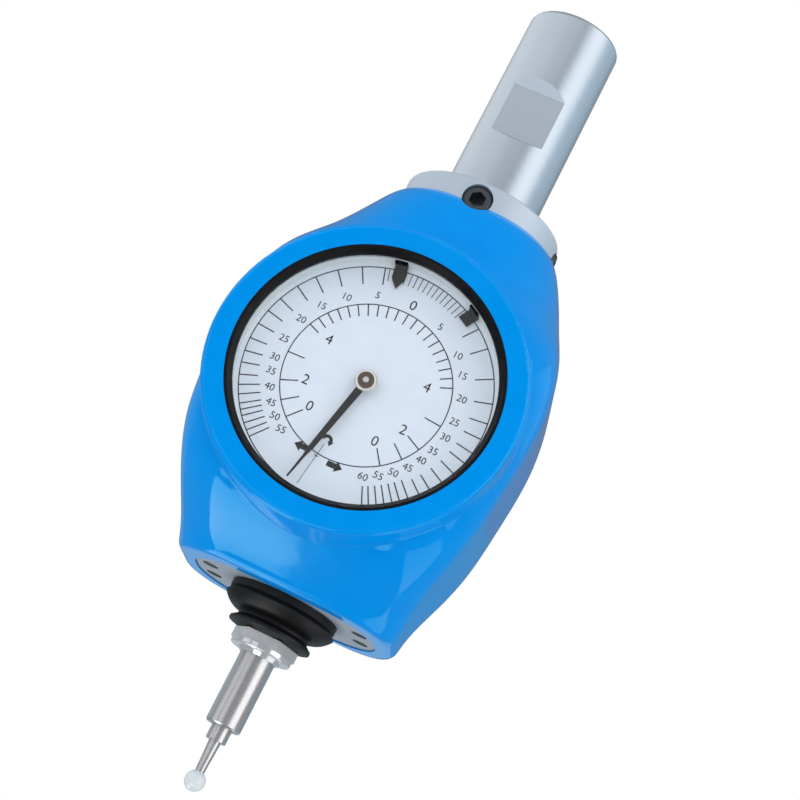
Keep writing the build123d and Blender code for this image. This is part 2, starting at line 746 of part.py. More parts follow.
# Rack: a toothed bar on a foot that the carriage carries through the slot
with BuildPart() as rack:
    with BuildSketch(facing(rack_back, z=0)):
        Polygon(*rack_outline(), align=None)
    extrude(amount=rack_thickness)
    with BuildSketch(facing(rack_seat_depth, rack_foot_x, rack_foot_z)):
        Rectangle(rack_foot_width, rack_foot_height)
    extrude(amount=rack_back - rack_seat_depth)
save(rack.part, "rack")

# Arbor with the rack's pinion, and the wheel on it, which drives the pinion on the hand's arbor
centre_line = degrees(atan2(dial_z - wheel_z, -wheel_x))
with BuildPart() as wheel_arbor:
    disc(arbor_r, arbor_front, arbor_back, wheel_x, wheel_z)
    with BuildSketch(facing(rack_pinion_front - rack_pinion_thickness, wheel_x, wheel_z)):
        Polygon(*tooth_outline(rack_pinion_teeth, rack_module, 0), align=None)
    extrude(amount=rack_pinion_thickness)
save(wheel_arbor.part, "wheel_arbor")

with BuildPart() as drive_wheel:
    with BuildSketch(facing(wheel_back, wheel_x, wheel_z)):
        Polygon(*tooth_outline(wheel_teeth, wheel_module, centre_line), align=None)
        Circle(arbor_r, mode=Mode.SUBTRACT)
    extrude(amount=wheel_thickness)
save(drive_wheel.part, "drive_wheel")

with BuildPart() as hand_arbor:
    disc(arbor_r, dial_front + arbor_end_play, arbor_back)
    disc(hub_pin_d / 2, hub_cap_front, dial_front)
    with BuildSketch(facing(wheel_back)):
        half_tooth = 180 / hand_pinion_teeth
        Polygon(*tooth_outline(hand_pinion_teeth, wheel_module, centre_line + half_tooth), align=None)
    extrude(amount=wheel_thickness)
save(hand_arbor.part, "hand_arbor")


def movement_blank():
    """Outline of a movement plate with holes for both arbors and the screws."""
    Circle(movement_plate_d / 2)
    with Locations((0, 0), (wheel_x, wheel_z - dial_z)):
        Circle(arbor_r + arbor_clearance, mode=Mode.SUBTRACT)
    with Locations(*pillar_spots):
        Circle(movement_screw_d / 2 + seat_gap, mode=Mode.SUBTRACT)


# Movement plates, with their pillars and screws
with BuildPart() as front_plate:
    with BuildSketch(facing(front_plate_back)):
        movement_blank()
    extrude(amount=movement_plate)
save(front_plate.part, "front_plate")

with BuildPart() as back_plate:
    with BuildSketch(facing(chamber_depth)):
        movement_blank()
        with Locations((rack_foot_x, rack_slot_z - dial_z)):
            Rectangle(rack_slot_width, rack_slot_height, mode=Mode.SUBTRACT)
    extrude(amount=movement_plate)
save(back_plate.part, "back_plate")

with BuildPart() as pillars:
    with BuildSketch(facing(back_plate_front)):
        with Locations(*pillar_spots):
            Circle(pillar_d / 2)
            Circle(movement_screw_d / 2 + seat_gap, mode=Mode.SUBTRACT)
    extrude(amount=front_plate_back - back_plate_front)
save(pillars.part, "pillars")

with BuildPart() as movement_screws:
    with BuildSketch(facing(movement_screw_end)):
        with Locations(*pillar_spots):
            Circle(movement_screw_d / 2)
    extrude(amount=front_plate_front - movement_screw_end)
    with BuildSketch(facing(front_plate_front)):
        with Locations(*pillar_spots):
            Circle(movement_screw_head_d / 2)
    extrude(amount=movement_screw_head)
save(movement_screws.part, "movement_screws")

# Dial, its rim, the crystal and the ring that holds them in
with BuildPart() as dial:
    disc(dial_d / 2, dial_front, dial_back)
    disc(arbor_r + dial_hole_clearance, dial_front, dial_back, mode=Mode.SUBTRACT)
save(dial.part, "dial")

with BuildPart() as dial_rim:
    disc(dial_d / 2, crystal_back, dial_front)
    disc(rim_r, crystal_back, dial_front, mode=Mode.SUBTRACT)
save(dial_rim.part, "dial_rim")

with BuildPart() as crystal:
    disc(dial_d / 2, crystal_front, crystal_back)
save(crystal.part, "crystal")

with BuildPart() as retaining_ring:
    with BuildSketch(Plane.XY.offset(dial_z)):
        Polygon(
            (retaining_opening_d / 2, -crystal_front),
            (retaining_ring_d / 2, -crystal_front),
            (retaining_ring_d / 2, -bezel_front),
            (retaining_ring_d / 2 - retaining_ring_edge, -bezel_front),
            (retaining_opening_d / 2, -bezel_front + retaining_ring_slope),
            align=None,
        )
    revolve(axis=Axis((0, 0, dial_z), (0, 1, 0)))
save(retaining_ring.part, "retaining_ring")

# Limit markers: each has a leg on the rim and a tab over the scale, one of them pointed
for name, angle in marker_angles.items():
    with BuildPart() as marker:
        with BuildSketch(pointing(angle, marker_back)):
            Circle(rim_r)
            with Locations((rim_r - marker_length / 2, 0)):
                Rectangle(marker_length, marker_width, mode=Mode.INTERSECT)
            if marker_points[name] > 0:
                Polygon(
                    (marker_end_x, marker_width / 2),
                    (marker_end_x, -marker_width / 2),
                    (marker_end_x - marker_points[name], 0),
                    align=None,
                )
        extrude(amount=marker_thickness)
        with BuildSketch(pointing(angle, marker_back)):
            Circle(rim_r)
            Circle(rim_r - marker_thickness, mode=Mode.SUBTRACT)
            with Locations((rim_r, 0)):
                Rectangle(marker_length, marker_width, mode=Mode.INTERSECT)
        extrude(amount=crystal_back - marker_back)
    save(marker.part, f"{name}_marker")

# Hand: a long tapered blade with a round boss, and the hub and cap on its arbor
with BuildPart() as hand:
    with BuildSketch(pointing(180 + hand_rest_angle, hand_back)):
        Polygon(
            (0, hand_root_width / 2),
            (0, -hand_root_width / 2),
            (hand_step, -hand_step_width / 2),
            (hand_step + hand_neck, -hand_neck_width / 2),
            (hand_length, -hand_tip_width / 2),
            (hand_length, hand_tip_width / 2),
            (hand_step + hand_neck, hand_neck_width / 2),
            (hand_step, hand_step_width / 2),
            align=None,
        )
        Circle(hub_cap_d / 2)
        Circle(hub_pin_d / 2, mode=Mode.SUBTRACT)
    extrude(amount=hand_thickness)
save(hand.part, "hand")

with BuildPart() as hand_hub:
    disc(hub_d / 2, hub_front, hand_front)
    chamfer(hand_hub.edges().group_by(Axis.Y)[0], hub_edge)
    disc(hub_pin_d / 2, hub_front, hand_front, mode=Mode.SUBTRACT)
save(hand_hub.part, "hand_hub")

with BuildPart() as hub_cap:
    disc(hub_cap_d / 2, hub_cap_front, hub_front)
    disc(hub_pin_d / 2, hub_cap_front, hub_front, mode=Mode.SUBTRACT)
save(hub_cap.part, "hub_cap")
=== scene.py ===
# %% [markdown]
# # A three-dimensional edge finder
# The tool is held in a milling spindle by its ground shank. A cast body in glossy blue enamel carries a
# dial under a crystal, and a probe with a ceramic ball hangs below it in a rubber boot. The solid model
# gives every rigid piece its form, so this script adds the finishes, the print on the dial, a boot cut
# into three bands, and the studio.

from math import cos, pi, radians, sin

import bmesh
import bpy
from mathutils import Matrix, Vector


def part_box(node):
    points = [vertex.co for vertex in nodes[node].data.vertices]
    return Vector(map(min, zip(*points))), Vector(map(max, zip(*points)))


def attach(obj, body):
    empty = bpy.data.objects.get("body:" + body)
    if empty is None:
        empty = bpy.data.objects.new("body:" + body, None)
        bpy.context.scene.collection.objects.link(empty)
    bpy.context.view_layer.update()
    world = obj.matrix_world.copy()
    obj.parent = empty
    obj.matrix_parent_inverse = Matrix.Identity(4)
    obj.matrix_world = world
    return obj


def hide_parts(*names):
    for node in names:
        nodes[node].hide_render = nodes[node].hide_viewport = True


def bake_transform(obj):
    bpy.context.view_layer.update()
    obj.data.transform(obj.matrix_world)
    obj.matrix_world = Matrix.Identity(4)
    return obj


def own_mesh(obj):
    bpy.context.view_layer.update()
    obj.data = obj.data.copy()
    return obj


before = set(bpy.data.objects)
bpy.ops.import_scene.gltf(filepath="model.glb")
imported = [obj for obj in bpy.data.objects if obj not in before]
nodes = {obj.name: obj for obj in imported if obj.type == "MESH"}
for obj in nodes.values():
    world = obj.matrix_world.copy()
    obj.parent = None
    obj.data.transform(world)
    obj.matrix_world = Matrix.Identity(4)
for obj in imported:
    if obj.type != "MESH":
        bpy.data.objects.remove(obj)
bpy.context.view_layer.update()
scene = bpy.context.scene
mm = 0.001


def in_scene(name, data):
    """A new object in the scene with this data."""
    piece = bpy.data.objects.new(name, data)
    scene.collection.objects.link(piece)
    return piece


# %% [markdown]
# ## Camera
# The picture was matched to the shank, the collar, the dial, the boot and the ball. It needs a
# camera a little below the tool that looks up at it, rolled so that the tool leans across the picture.
# A long lens keeps the dial nearly round.

# %% Camera
camera_at = Vector((54.980, -333.923, -148.391)) * mm
camera_right = Vector((0.9008584, 0.00628508, 0.43406756))
camera_down = Vector((0.4072992, 0.33373085, -0.85013592))
camera_forward = Vector((-0.15020491, 0.94264745, 0.29808433))
focal_px = 1800.0
picture_px = 800.0
sensor_mm = 36.0
nearest_m = 0.01
farthest_m = 20.0

camera = in_scene("camera", bpy.data.cameras.new("camera"))
camera.data.sensor_width = sensor_mm
camera.data.lens = sensor_mm * focal_px / picture_px
camera.data.clip_start = nearest_m
camera.data.clip_end = farthest_m
turn = Matrix((camera_right, -camera_down, -camera_forward)).transposed()
camera.matrix_world = Matrix.Translation(camera_at) @ turn.to_4x4()
scene.camera = camera
scene.view_settings.view_transform = "Standard"
print("lens", round(camera.data.lens, 1), "mm at", [round(v, 3) for v in camera_at])

# %% [markdown]
# ## Small tools for shaders
# Colours are written as they are read off a screen and turned to linear light once. Every finish starts
# from the same idea: a pattern with a real grain size drives a slight change of tone, of roughness and of
# height, because no real surface is one flat colour.


# %% Shader helpers
def linear(colour):
    """A screen colour such as "#0A8CEC" as linear red, green, blue and one."""
    values = [int(colour[i : i + 2], 16) / 255 for i in (1, 3, 5)]
    return [v / 12.92 if v <= 0.04045 else ((v + 0.055) / 1.055) ** 2.4 for v in values] + [1.0]


def add(tree, kind, values=None, links=None, **settings):
    """A new node with its settings, its sockets' values and what feeds its sockets."""
    node = tree.nodes.new(kind)
    for name, value in settings.items():
        setattr(node, name, value)
    for socket, value in (values or {}).items():
        node.inputs[socket].default_value = value
    for socket, source in (links or {}).items():
        tree.links.new(source, node.inputs[socket])
    return node


def emptied(holder):
    """The node tree of a material or a world, with nothing in it."""
    holder.use_nodes = True
    holder.node_tree.nodes.clear()
    return holder.node_tree


def blank(name):
    """A material with a surface shader and an output alone."""
    material = bpy.data.materials.new(name)
    tree = emptied(material)
    shader = add(tree, "ShaderNodeBsdfPrincipled")
    output = add(tree, "ShaderNodeOutputMaterial", links={"Surface": shader.outputs[0]})
    return material, tree, shader, output


def grain(tree, size_mm, stretch=(1.0, 1.0, 1.0), detail=3.0):
    """A noise whose patches are size_mm across, drawn out along the axes with a small stretch."""
    place = add(tree, "ShaderNodeTexCoord").outputs["Object"]
    scale = [s / (size_mm * mm) for s in stretch]
    mapped = add(tree, "ShaderNodeMapping", {"Scale": scale}, {"Vector": place})
    noise = add(tree, "ShaderNodeTexNoise", {"Scale": 1.0, "Detail": detail}, {"Vector": mapped.outputs[0]})
    return noise.outputs["Fac"]


def between(tree, source, low, high, start=0.3, end=0.7):
    """The source from start to end as a number from low to high."""
    values = {"From Min": start, "From Max": end, "To Min": low, "To Max": high}
    return add(tree, "ShaderNodeMapRange", values, {"Value": source}).outputs[0]


def tinted(tree, source, dark, light, start=0.3, end=0.7):
    """A colour that goes from dark to light as the source goes from start to end."""
    amount = between(tree, source, 0.0, 1.0, start, end)
    mix = add(tree, "ShaderNodeMix", data_type="RGBA")
    mix.inputs[6].default_value = dark
    mix.inputs[7].default_value = light
    tree.links.new(amount, mix.inputs[0])
    return mix.outputs[2]


def finish(name, tones, roughness, grain_mm, height_um=0.0, stretch=(1.0, 1.0, 1.0), **sockets):
    """A finish from two close tones, a range of roughness, and a grain with a height in micrometres."""
    material, tree, shader, _ = blank(name)
    for socket, value in sockets.items():
        shader.inputs[socket.replace("_", " ")].default_value = value
    pattern = grain(tree, grain_mm, stretch)
    tree.links.new(tinted(tree, pattern, linear(tones[0]), linear(tones[1])), shader.inputs["Base Color"])
    tree.links.new(between(tree, pattern, *roughness), shader.inputs["Roughness"])
    if height_um:
        values = {"Strength": 1.0, "Distance": height_um * 1e-6}
        bump = add(tree, "ShaderNodeBump", values, {"Height": pattern})
        tree.links.new(bump.outputs[0], shader.inputs["Normal"])
    return material


# %% [markdown]
# ## Metals
# The shank is ground steel. Grinding leaves fine marks round the axis, which spread the studio's softbox
# into one soft upright band. The marks are drawn 0.4 mm apart, coarser than the real ones, so that they
# hold at the picture's five pixels to the millimetre. The collar is blasted to an even grey, and its
# screws are phosphated. Metals keep the shader's own index of refraction, and their colour is what they
# reflect straight on.

# %% Metal finishes
across_marks = (0.08, 0.08, 1.0)
along_marks = (1.0, 1.0, 0.06)
satin_steel = finish(
    "Ground satin steel", ("#C9D4DD", "#CFDAE3"), (0.34, 0.40), 0.4, 0.15, across_marks, Metallic=0.75
)
blasted_steel = finish("Blasted steel", ("#C4CFD9", "#CED9E2"), (0.50, 0.60), 0.3, 1.0, Metallic=0.45)
turned_steel = finish(
    "Turned steel", ("#BDC0C4", "#CFD1D4"), (0.22, 0.34), 0.5, 1.5, (0.1, 0.1, 1.0), Metallic=1.0
)
spring_steel = finish("Drawn spring wire", ("#A6A8AB", "#BFC0C2"), (0.25, 0.35), 0.6, 0.8, Metallic=1.0)
polished_steel = finish(
    "Polished steel", ("#DAD8D7", "#E6E4E3"), (0.25, 0.31), 0.8, 0.4, along_marks, Metallic=0.8
)
bright_chrome = finish("Bright chrome", ("#E6E7E7", "#F0F1F1"), (0.12, 0.18), 2.0, 0.3, Metallic=0.6)
pale_nickel = finish("Polished nickel", ("#D9D5CC", "#E6E2D9"), (0.14, 0.20), 0.5, 0.5, Metallic=1.0)
phosphated_steel = finish("Phosphated steel", ("#54585C", "#686C70"), (0.28, 0.40), 0.3, 1.0, Metallic=0.8)
black_steel = finish("Black oxide steel", ("#2A2C30", "#3A3C41"), (0.28, 0.40), 0.3, 1.0, Metallic=0.8)
brass = finish("Turned brass", ("#C69C4E", "#DDB565"), (0.22, 0.34), 0.5, 1.2, (1.0, 0.1, 1.0), Metallic=1.0)
grey_plate = finish("Blasted grey alloy", ("#AFB8C2", "#BCC5CE"), (0.45, 0.58), 0.25, 4.0, Metallic=0.25)
print("metals ready")

# %% [markdown]
# ## Enamel, rubber, plastics and ceramic
# The body is sprayed with a glossy blue stoving enamel. Its pigment swallows nearly all red, so the
# shadows stay a clean blue, its gloss has a cool tint, and its surface has the faint long waves of
# sprayed paint. The boot is moulded rubber with a dull bloom. The ball is a polished white ceramic.

# %% Coatings and mouldings
blue_enamel = finish("Glossy blue enamel", ("#0092E8", "#0096EC"), (0.06, 0.10), 6.0, 3.0, IOR=1.5)
blue_enamel.node_tree.nodes["Principled BSDF"].inputs["Specular Tint"].default_value = linear("#9BFBD2")
black_rubber = finish("Moulded black rubber", ("#0F1011", "#191A1B"), (0.42, 0.56), 0.5, 6.0, IOR=1.5)
white_plastic = finish("Moulded white plastic", ("#DFE6E2", "#EAEFEC"), (0.40, 0.50), 0.8, 1.0, IOR=1.49)
black_plastic = finish(
    "Moulded black plastic", ("#0E0F11", "#17181B"), (0.40, 0.55), 0.5, 1.5, IOR=1.49, Specular_IOR_Level=0.2
)
black_lacquer = finish(
    "Satin black lacquer", ("#0C0D10", "#15161A"), (0.34, 0.42), 1.0, 0.8, IOR=1.5, Specular_IOR_Level=0.2
)
white_ceramic = finish("White ceramic", ("#DFE5E3", "#E5EAE8"), (0.10, 0.14), 1.5, IOR=1.6)
dial_white = finish("Matt white dial enamel", ("#E2ECF6", "#E7F0F9"), (0.55, 0.65), 3.0, 0.8, IOR=1.5)
print("coatings ready")

# %% [markdown]
# ## Hub cap
# The cap over the hand's arbor is dark, oiled bronze with a small near-white centre. The centre is a
# mask by distance from the hand's axis.

# %% Dark bronze with a bright centre
dial_low, dial_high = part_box("dial")
dial_centre_z = (dial_low[2] + dial_high[2]) / 2
dial_face_y = dial_low[1]
bright_centre_r = 0.45 * mm
centre_blur = 0.09 * mm

dark_bronze, tree, shader, _ = blank("Oiled dark bronze")
place = add(tree, "ShaderNodeTexCoord").outputs["Object"]
moved = add(tree, "ShaderNodeMapping", {"Location": (0.0, 0.0, -dial_centre_z)}, {"Vector": place})
flat = add(tree, "ShaderNodeVectorMath", {1: (1.0, 0.0, 1.0)}, {0: moved.outputs[0]}, operation="MULTIPLY")
away = add(tree, "ShaderNodeVectorMath", links={0: flat.outputs[0]}, operation="LENGTH")
bronze = tinted(tree, grain(tree, 0.4), linear("#4A4038"), linear("#5C5047"))
centre = between(
    tree, away.outputs["Value"], 1.0, 0.0, bright_centre_r - centre_blur, bright_centre_r + centre_blur
)
capped = add(tree, "ShaderNodeMix", data_type="RGBA")
tree.links.new(centre, capped.inputs[0])
tree.links.new(bronze, capped.inputs[6])
capped.inputs[7].default_value = linear("#F2EEE4")
tree.links.new(capped.outputs[2], shader.inputs["Base Color"])
shader.inputs["Metallic"].default_value = 0.8
shader.inputs["Roughness"].default_value = 0.35
print("dial centre at z", round(dial_centre_z, 5), "face at y", round(dial_face_y, 5))

# %% [markdown]
# ## Crystal
# The cover is a flat mineral crystal. Lamps have to light the dial through it, so shadow and diffuse
# rays pass straight through, and all other rays meet glass. A faint change of roughness stands for
# handling.

# %% Clear crystal
clear_crystal, tree, shader, output = blank("Clear mineral crystal")
shader.inputs["Base Color"].default_value = (1.0, 1.0, 1.0, 1.0)
shader.inputs["Transmission Weight"].default_value = 1.0
shader.inputs["IOR"].default_value = 1.5
tree.links.new(between(tree, grain(tree, 5.0), 0.0, 0.01), shader.inputs["Roughness"])
path = add(tree, "ShaderNodeLightPath")
light_rays = add(tree, "ShaderNodeMath", operation="MAXIMUM")
tree.links.new(path.outputs["Is Shadow Ray"], light_rays.inputs[0])
tree.links.new(path.outputs["Is Diffuse Ray"], light_rays.inputs[1])
passing = add(tree, "ShaderNodeBsdfTransparent")
glass = add(tree, "ShaderNodeMixShader", links={0: light_rays.outputs[0], 1: shader.outputs[0]})
tree.links.new(passing.outputs[0], glass.inputs[2])
tree.links.new(glass.outputs[0], output.inputs["Surface"])
crystal_low, crystal_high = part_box("crystal")
print("crystal", round((crystal_high[1] - crystal_low[1]) / mm, 2), "mm thick")

# %% [markdown]
# ## Finishes on the rigid pieces
# Each piece of the solid model keeps its form and gets the finish of its real material.

# %% Finishes by piece
finishes = {
    satin_steel: ("shank",),
    blasted_steel: ("collar",),
    phosphated_steel: ("set_screws", "clamp_screw"),
    black_steel: ("plate_screws", "movement_screws"),
    spring_steel: ("clamp_washer", "return_spring", "foot_spring"),
    turned_steel: (
        "carriage",
        "plunger",
        "pressure_foot",
        "gimbal_ring",
        "gimbal_pins",
        "lever_pins",
        "lever",
        "wheel_arbor",
        "hand_arbor",
    ),
    polished_steel: ("probe_sleeve", "stylus_stem"),
    bright_chrome: ("probe_nut",),
    pale_nickel: ("hand_hub",),
    dark_bronze: ("hub_cap",),
    brass: ("guide_bush", "rack", "drive_wheel", "front_plate", "back_plate", "pillars"),
    grey_plate: ("base_plate",),
    blue_enamel: ("housing",),
    black_rubber: ("boot",),
    white_plastic: ("dial_rim",),
    black_plastic: ("left_marker", "right_marker"),
    black_lacquer: ("retaining_ring", "hand"),
    white_ceramic: ("stylus_ball",),
    dial_white: ("dial",),
    clear_crystal: ("crystal",),
}
for material, names in finishes.items():
    for name in names:
        for place in nodes[name].material_slots:
            place.material = material
covered = {name for names in finishes.values() for name in names}
print("without a finish:", sorted(set(nodes) - covered))

# %% [markdown]
# ## Print on the dial
# A real dial is pad printed in black: two circles, tick marks, plain numbers and small arrows. Here the
# print is flat mesh that lies 0.03 mm in front of the enamel. Angles run clockwise from twelve o'clock
# and lengths are in millimetres. The marks crowd together towards six o'clock, as they do on the real
# dial.

# %% Print helpers
print_lift = 0.03 * mm


def on_dial(angle, radius, across=0.0):
    """The point of the print at a clock angle and a radius, and across to the clockwise side."""
    a = radians(angle)
    x = radius * sin(a) + across * cos(a)
    z = radius * cos(a) - across * sin(a)
    return Vector((x * mm, dial_face_y - print_lift, dial_centre_z + z * mm))


def printed(name, faces):
    """A flat printed piece from faces, each a list of points."""
    mesh = bmesh.new()
    for points in faces:
        mesh.faces.new([mesh.verts.new(point) for point in points])
    bmesh.ops.recalc_face_normals(mesh, faces=mesh.faces)
    data = bpy.data.meshes.new(name)
    mesh.to_mesh(data)
    mesh.free()
    data.materials.append(black_lacquer)
    piece = in_scene(name, data)
    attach(piece, "tool_body")


def tick(angle, inner, outer, width):
    """A straight mark that points to the dial's centre."""
    half = width / 2
    ends = ((inner, -half), (inner, half), (outer, half), (outer, -half))
    return [on_dial(angle, radius, across) for radius, across in ends]


def circle(radius, width, steps=120):
    """A ring of flat faces round the dial's centre."""
    angles = [360 * i / steps for i in range(steps + 1)]
    inner, outer = radius - width / 2, radius + width / 2
    return [
        [on_dial(a, inner), on_dial(a, outer), on_dial(b, outer), on_dial(b, inner)]
        for a, b in zip(angles, angles[1:])
    ]


# %% Circles and tick marks
outer_circle_r = 22.9
inner_circle_r = 15.5
outer_tick_r = 19.5
crowded_tick_r = 19.0
fine_tick_r = 20.4
inner_tick_r = 13.2
long_inner_tick_r = 12.2
circle_width = 0.2
tick_width = 0.22
fine_tick_width = 0.15

left_ticks = (17.2, 27.8, 39.1, 49.8, 59.3, 69.1, 77.1, 84.7, 92.5, 99.0, 104.8, 110.7)
left_crowded = (115.6, 120.2, 124.6, 127.6, 130.6, 134.2, 137.7, 141.0)
right_ticks = (36.8, 47.2, 62.0, 74.0, 83.6, 91.4, 99.0, 104.8, 111.6, 118.2, 124.6, 129.8)
right_crowded = (135.0, 139.0, 142.4, 146.0, 149.5, 153.0, 156.0)
fine_ticks = [-15.0 + 2.7 * i for i in range(16)]
inner_ticks = [-67.0 + 7.07 * i for i in range(20)]
long_inner_ticks = (-138.8, -126.5, -112.2, -91.5, 95.5, 117.0, 130.0, 145.0)

marks = [tick(-angle, outer_tick_r, outer_circle_r, tick_width) for angle in left_ticks]
marks += [tick(-angle, crowded_tick_r, outer_circle_r, tick_width) for angle in left_crowded]
marks += [tick(angle, outer_tick_r, outer_circle_r, tick_width) for angle in right_ticks]
marks += [tick(angle, crowded_tick_r, outer_circle_r, tick_width) for angle in right_crowded]
marks += [tick(angle, fine_tick_r, outer_circle_r, fine_tick_width) for angle in fine_ticks]
marks += [tick(angle, inner_tick_r, inner_circle_r, tick_width) for angle in inner_ticks]
marks += [tick(angle, long_inner_tick_r, inner_circle_r, tick_width) for angle in long_inner_ticks]
printed("dial_marks", marks + circle(outer_circle_r, circle_width) + circle(inner_circle_r, circle_width))
print("printed marks:", len(marks))

# %% [markdown]
# The small arrows near six o'clock show which way the hand runs, and a thin line there marks where it
# rests.

# %% Arrows and rest line
arrow_long = 3.0
arrow_half = 1.05
head_overhang = 0.25
head_length = 0.9


def arrow(angle, radius, way):
    """An arrow with a stub tail that points left or right at this place."""
    centre = on_dial(angle, radius)
    outline = ((-0.5, 0.5), (0.05, 0.5), (0.05, 1.0), (0.5, 0.0), (0.05, -1.0), (0.05, -0.5), (-0.5, -0.5))
    return [centre + Vector((way * x * arrow_long, 0.0, z * arrow_half)) * mm for x, z in outline]


def arch(angle, radius, outer, inner, steps=16):
    """Faces of a thick half ring that stands over this place, with a point below its right end."""
    centre = on_dial(angle, radius)
    turns = [pi * i / steps for i in range(steps + 1)]

    def at(r, t):
        return centre + Vector((r * cos(t), 0.0, r * sin(t))) * mm

    faces = [[at(outer, a), at(inner, a), at(inner, b), at(outer, b)] for a, b in zip(turns, turns[1:])]
    middle = (outer + inner) / 2
    head = ((inner - head_overhang, 0.0), (outer + head_overhang, 0.0), (middle, -head_length))
    faces.append([centre + Vector((x, 0.0, z)) * mm for x, z in head])
    return faces


rest_angle = 187.5
rest_line_width = 0.1
rest_bar_width = 0.7
signs = [arrow(-161.5, 16.2, -1), arrow(174.0, 16.3, 1)]
signs += arch(187.7, 12.6, outer=1.1, inner=0.5)
signs += [tick(rest_angle, 13.5, 22.0, rest_line_width), tick(rest_angle, 15.9, 16.1, rest_bar_width)]
printed("dial_arrows", signs)
print("printed signs:", len(signs))

# %% [markdown]
# The numbers are upright and plain: a row of fives round the outer scale, from nought at the top, and a
# few single figures on the inner one.

# %% Numbers
digit_share = 0.73


def number(text, angle, radius, height):
    """The faces of a printed number, upright, centred at this place. A figure fills 0.73 of the type size."""
    curve = bpy.data.curves.new("number", "FONT")
    curve.body = text
    curve.size = height / digit_share * mm
    curve.align_x = "CENTER"
    curve.align_y = "CENTER"
    curve.resolution_u = 3
    holder = in_scene("number", curve)
    mesh = bpy.data.meshes.new_from_object(holder.evaluated_get(bpy.context.evaluated_depsgraph_get()))
    centre = on_dial(angle, radius)
    faces = [
        [centre + Vector((mesh.vertices[v].co.x, 0.0, mesh.vertices[v].co.y)) for v in face.vertices]
        for face in mesh.polygons
    ]
    bpy.data.objects.remove(holder)
    bpy.data.curves.remove(curve)
    bpy.data.meshes.remove(mesh)
    return faces


number_r = 17.3
inner_number_r = 10.9
number_height = 1.4
large_number_height = 2.0
left_numbers = (19, 38, 54, 69, 85, 98, 107, 117, 127, 136, 145)
right_numbers = (25, 46, 59, 74, 89, 100, 111, 120, 129, 138, 147, 156)
inner_numbers = (("0", -138), ("2", -111), ("4", -64), ("4", 68), ("2", 117), ("0", 146))
faces = number("0", 3.5, number_r, large_number_height)
for i, angle in enumerate(left_numbers):
    faces += number(str(5 * (i + 1)), -angle, number_r, number_height)
for i, angle in enumerate(right_numbers):
    faces += number(str(5 * (i + 1)), angle, number_r, number_height)
for text, angle in inner_numbers:
    faces += number(text, angle, inner_number_r, large_number_height)
printed("dial_numbers", faces)
print("number faces:", len(faces))

# %% [markdown]
# ## Boot and return spring
# The rubber boot is one thin moulding: its root sits on the base plate's spigot and its foot grips the
# lever under the nut. When the probe is pushed up the skin folds, and when the stylus tilts the neck
# bends. Here the moulding is cut at two heights into three bands that meet edge to edge. The upper
# band goes with the tool body, and the two narrow bands at the neck stay where they are. The return
# spring inside is copied to its own mesh, which goes with the tool body.

# %% Boot in three bands
neck_top_z = -94.3 * mm
neck_middle_z = -94.85 * mm
crease_angle = radians(32)


def band(name, node, low, high, material):
    """The part of a piece between two heights as its own mesh, or up to the piece's end without one."""
    mesh = bmesh.new()
    mesh.from_mesh(nodes[node].data)
    mesh.transform(nodes[node].matrix_world)
    for height, way in ((low, -1), (high, 1)):
        if height is not None:
            bmesh.ops.bisect_plane(
                mesh,
                geom=mesh.verts[:] + mesh.edges[:] + mesh.faces[:],
                plane_co=(0.0, 0.0, height),
                plane_no=(0.0, 0.0, way),
                clear_outer=True,
            )
    for face in mesh.faces:
        face.smooth = True
    data = bpy.data.meshes.new(name)
    mesh.to_mesh(data)
    mesh.free()
    data.materials.clear()
    data.materials.append(material)
    data.set_sharp_from_angle(angle=crease_angle)
    piece = in_scene(name, data)
    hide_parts(node)
    return piece


boot_skirt = band("boot_skirt", "boot", neck_top_z, None, black_rubber)
boot_neck = band("boot_neck", "boot", neck_middle_z, neck_top_z, black_rubber)
boot_foot = band("boot_foot", "boot", None, neck_middle_z, black_rubber)
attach(boot_skirt, "tool_body")
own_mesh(boot_skirt)
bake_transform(boot_neck)
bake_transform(boot_foot)

# %% Return spring as its own mesh
flat_spring = band("return_spring_coil", "return_spring", None, None, spring_steel)
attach(flat_spring, "tool_body")
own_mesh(flat_spring)

# %% [markdown]
# ## Studio
# The floor is a plain pale sheet well below the tool, and it sends no light back to it. The backdrop is
# white to the eye and to glass. For reflections the tool stands in a dark room with white softboxes,
# some cards tinted sky blue at the right and behind, and one black flag, which only glossy rays see.
# They put one upright band on the shank, streaks on the sleeve, and a wide soft band on the lower front
# of the body, and the flag keeps the face of the body free of glare.

# %% World
world = bpy.data.worlds.new("studio")
scene.world = world
tree = emptied(world)
room_diffuse = 0.98
room_glossy = 0.20
path = add(tree, "ShaderNodeLightPath")
seen = add(tree, "ShaderNodeMath", operation="MAXIMUM")
tree.links.new(path.outputs["Is Camera Ray"], seen.inputs[0])
tree.links.new(path.outputs["Is Transmission Ray"], seen.inputs[1])
soft = add(tree, "ShaderNodeBackground", {"Color": linear("#F4F8FF"), "Strength": room_diffuse})
mirror = add(tree, "ShaderNodeBackground", {"Color": linear("#EEF6FF"), "Strength": room_glossy})
white = add(tree, "ShaderNodeBackground", {"Color": linear("#FFFFFF"), "Strength": 1.0})
glossy = path.outputs["Is Glossy Ray"]
rooms = add(tree, "ShaderNodeMixShader", links={0: glossy, 1: soft.outputs[0], 2: mirror.outputs[0]})
shown = add(tree, "ShaderNodeMixShader", links={0: seen.outputs[0], 1: rooms.outputs[0], 2: white.outputs[0]})
add(tree, "ShaderNodeOutputWorld", links={"Surface": shown.outputs[0]})
print("room", room_diffuse, "for soft light,", room_glossy, "in reflections")

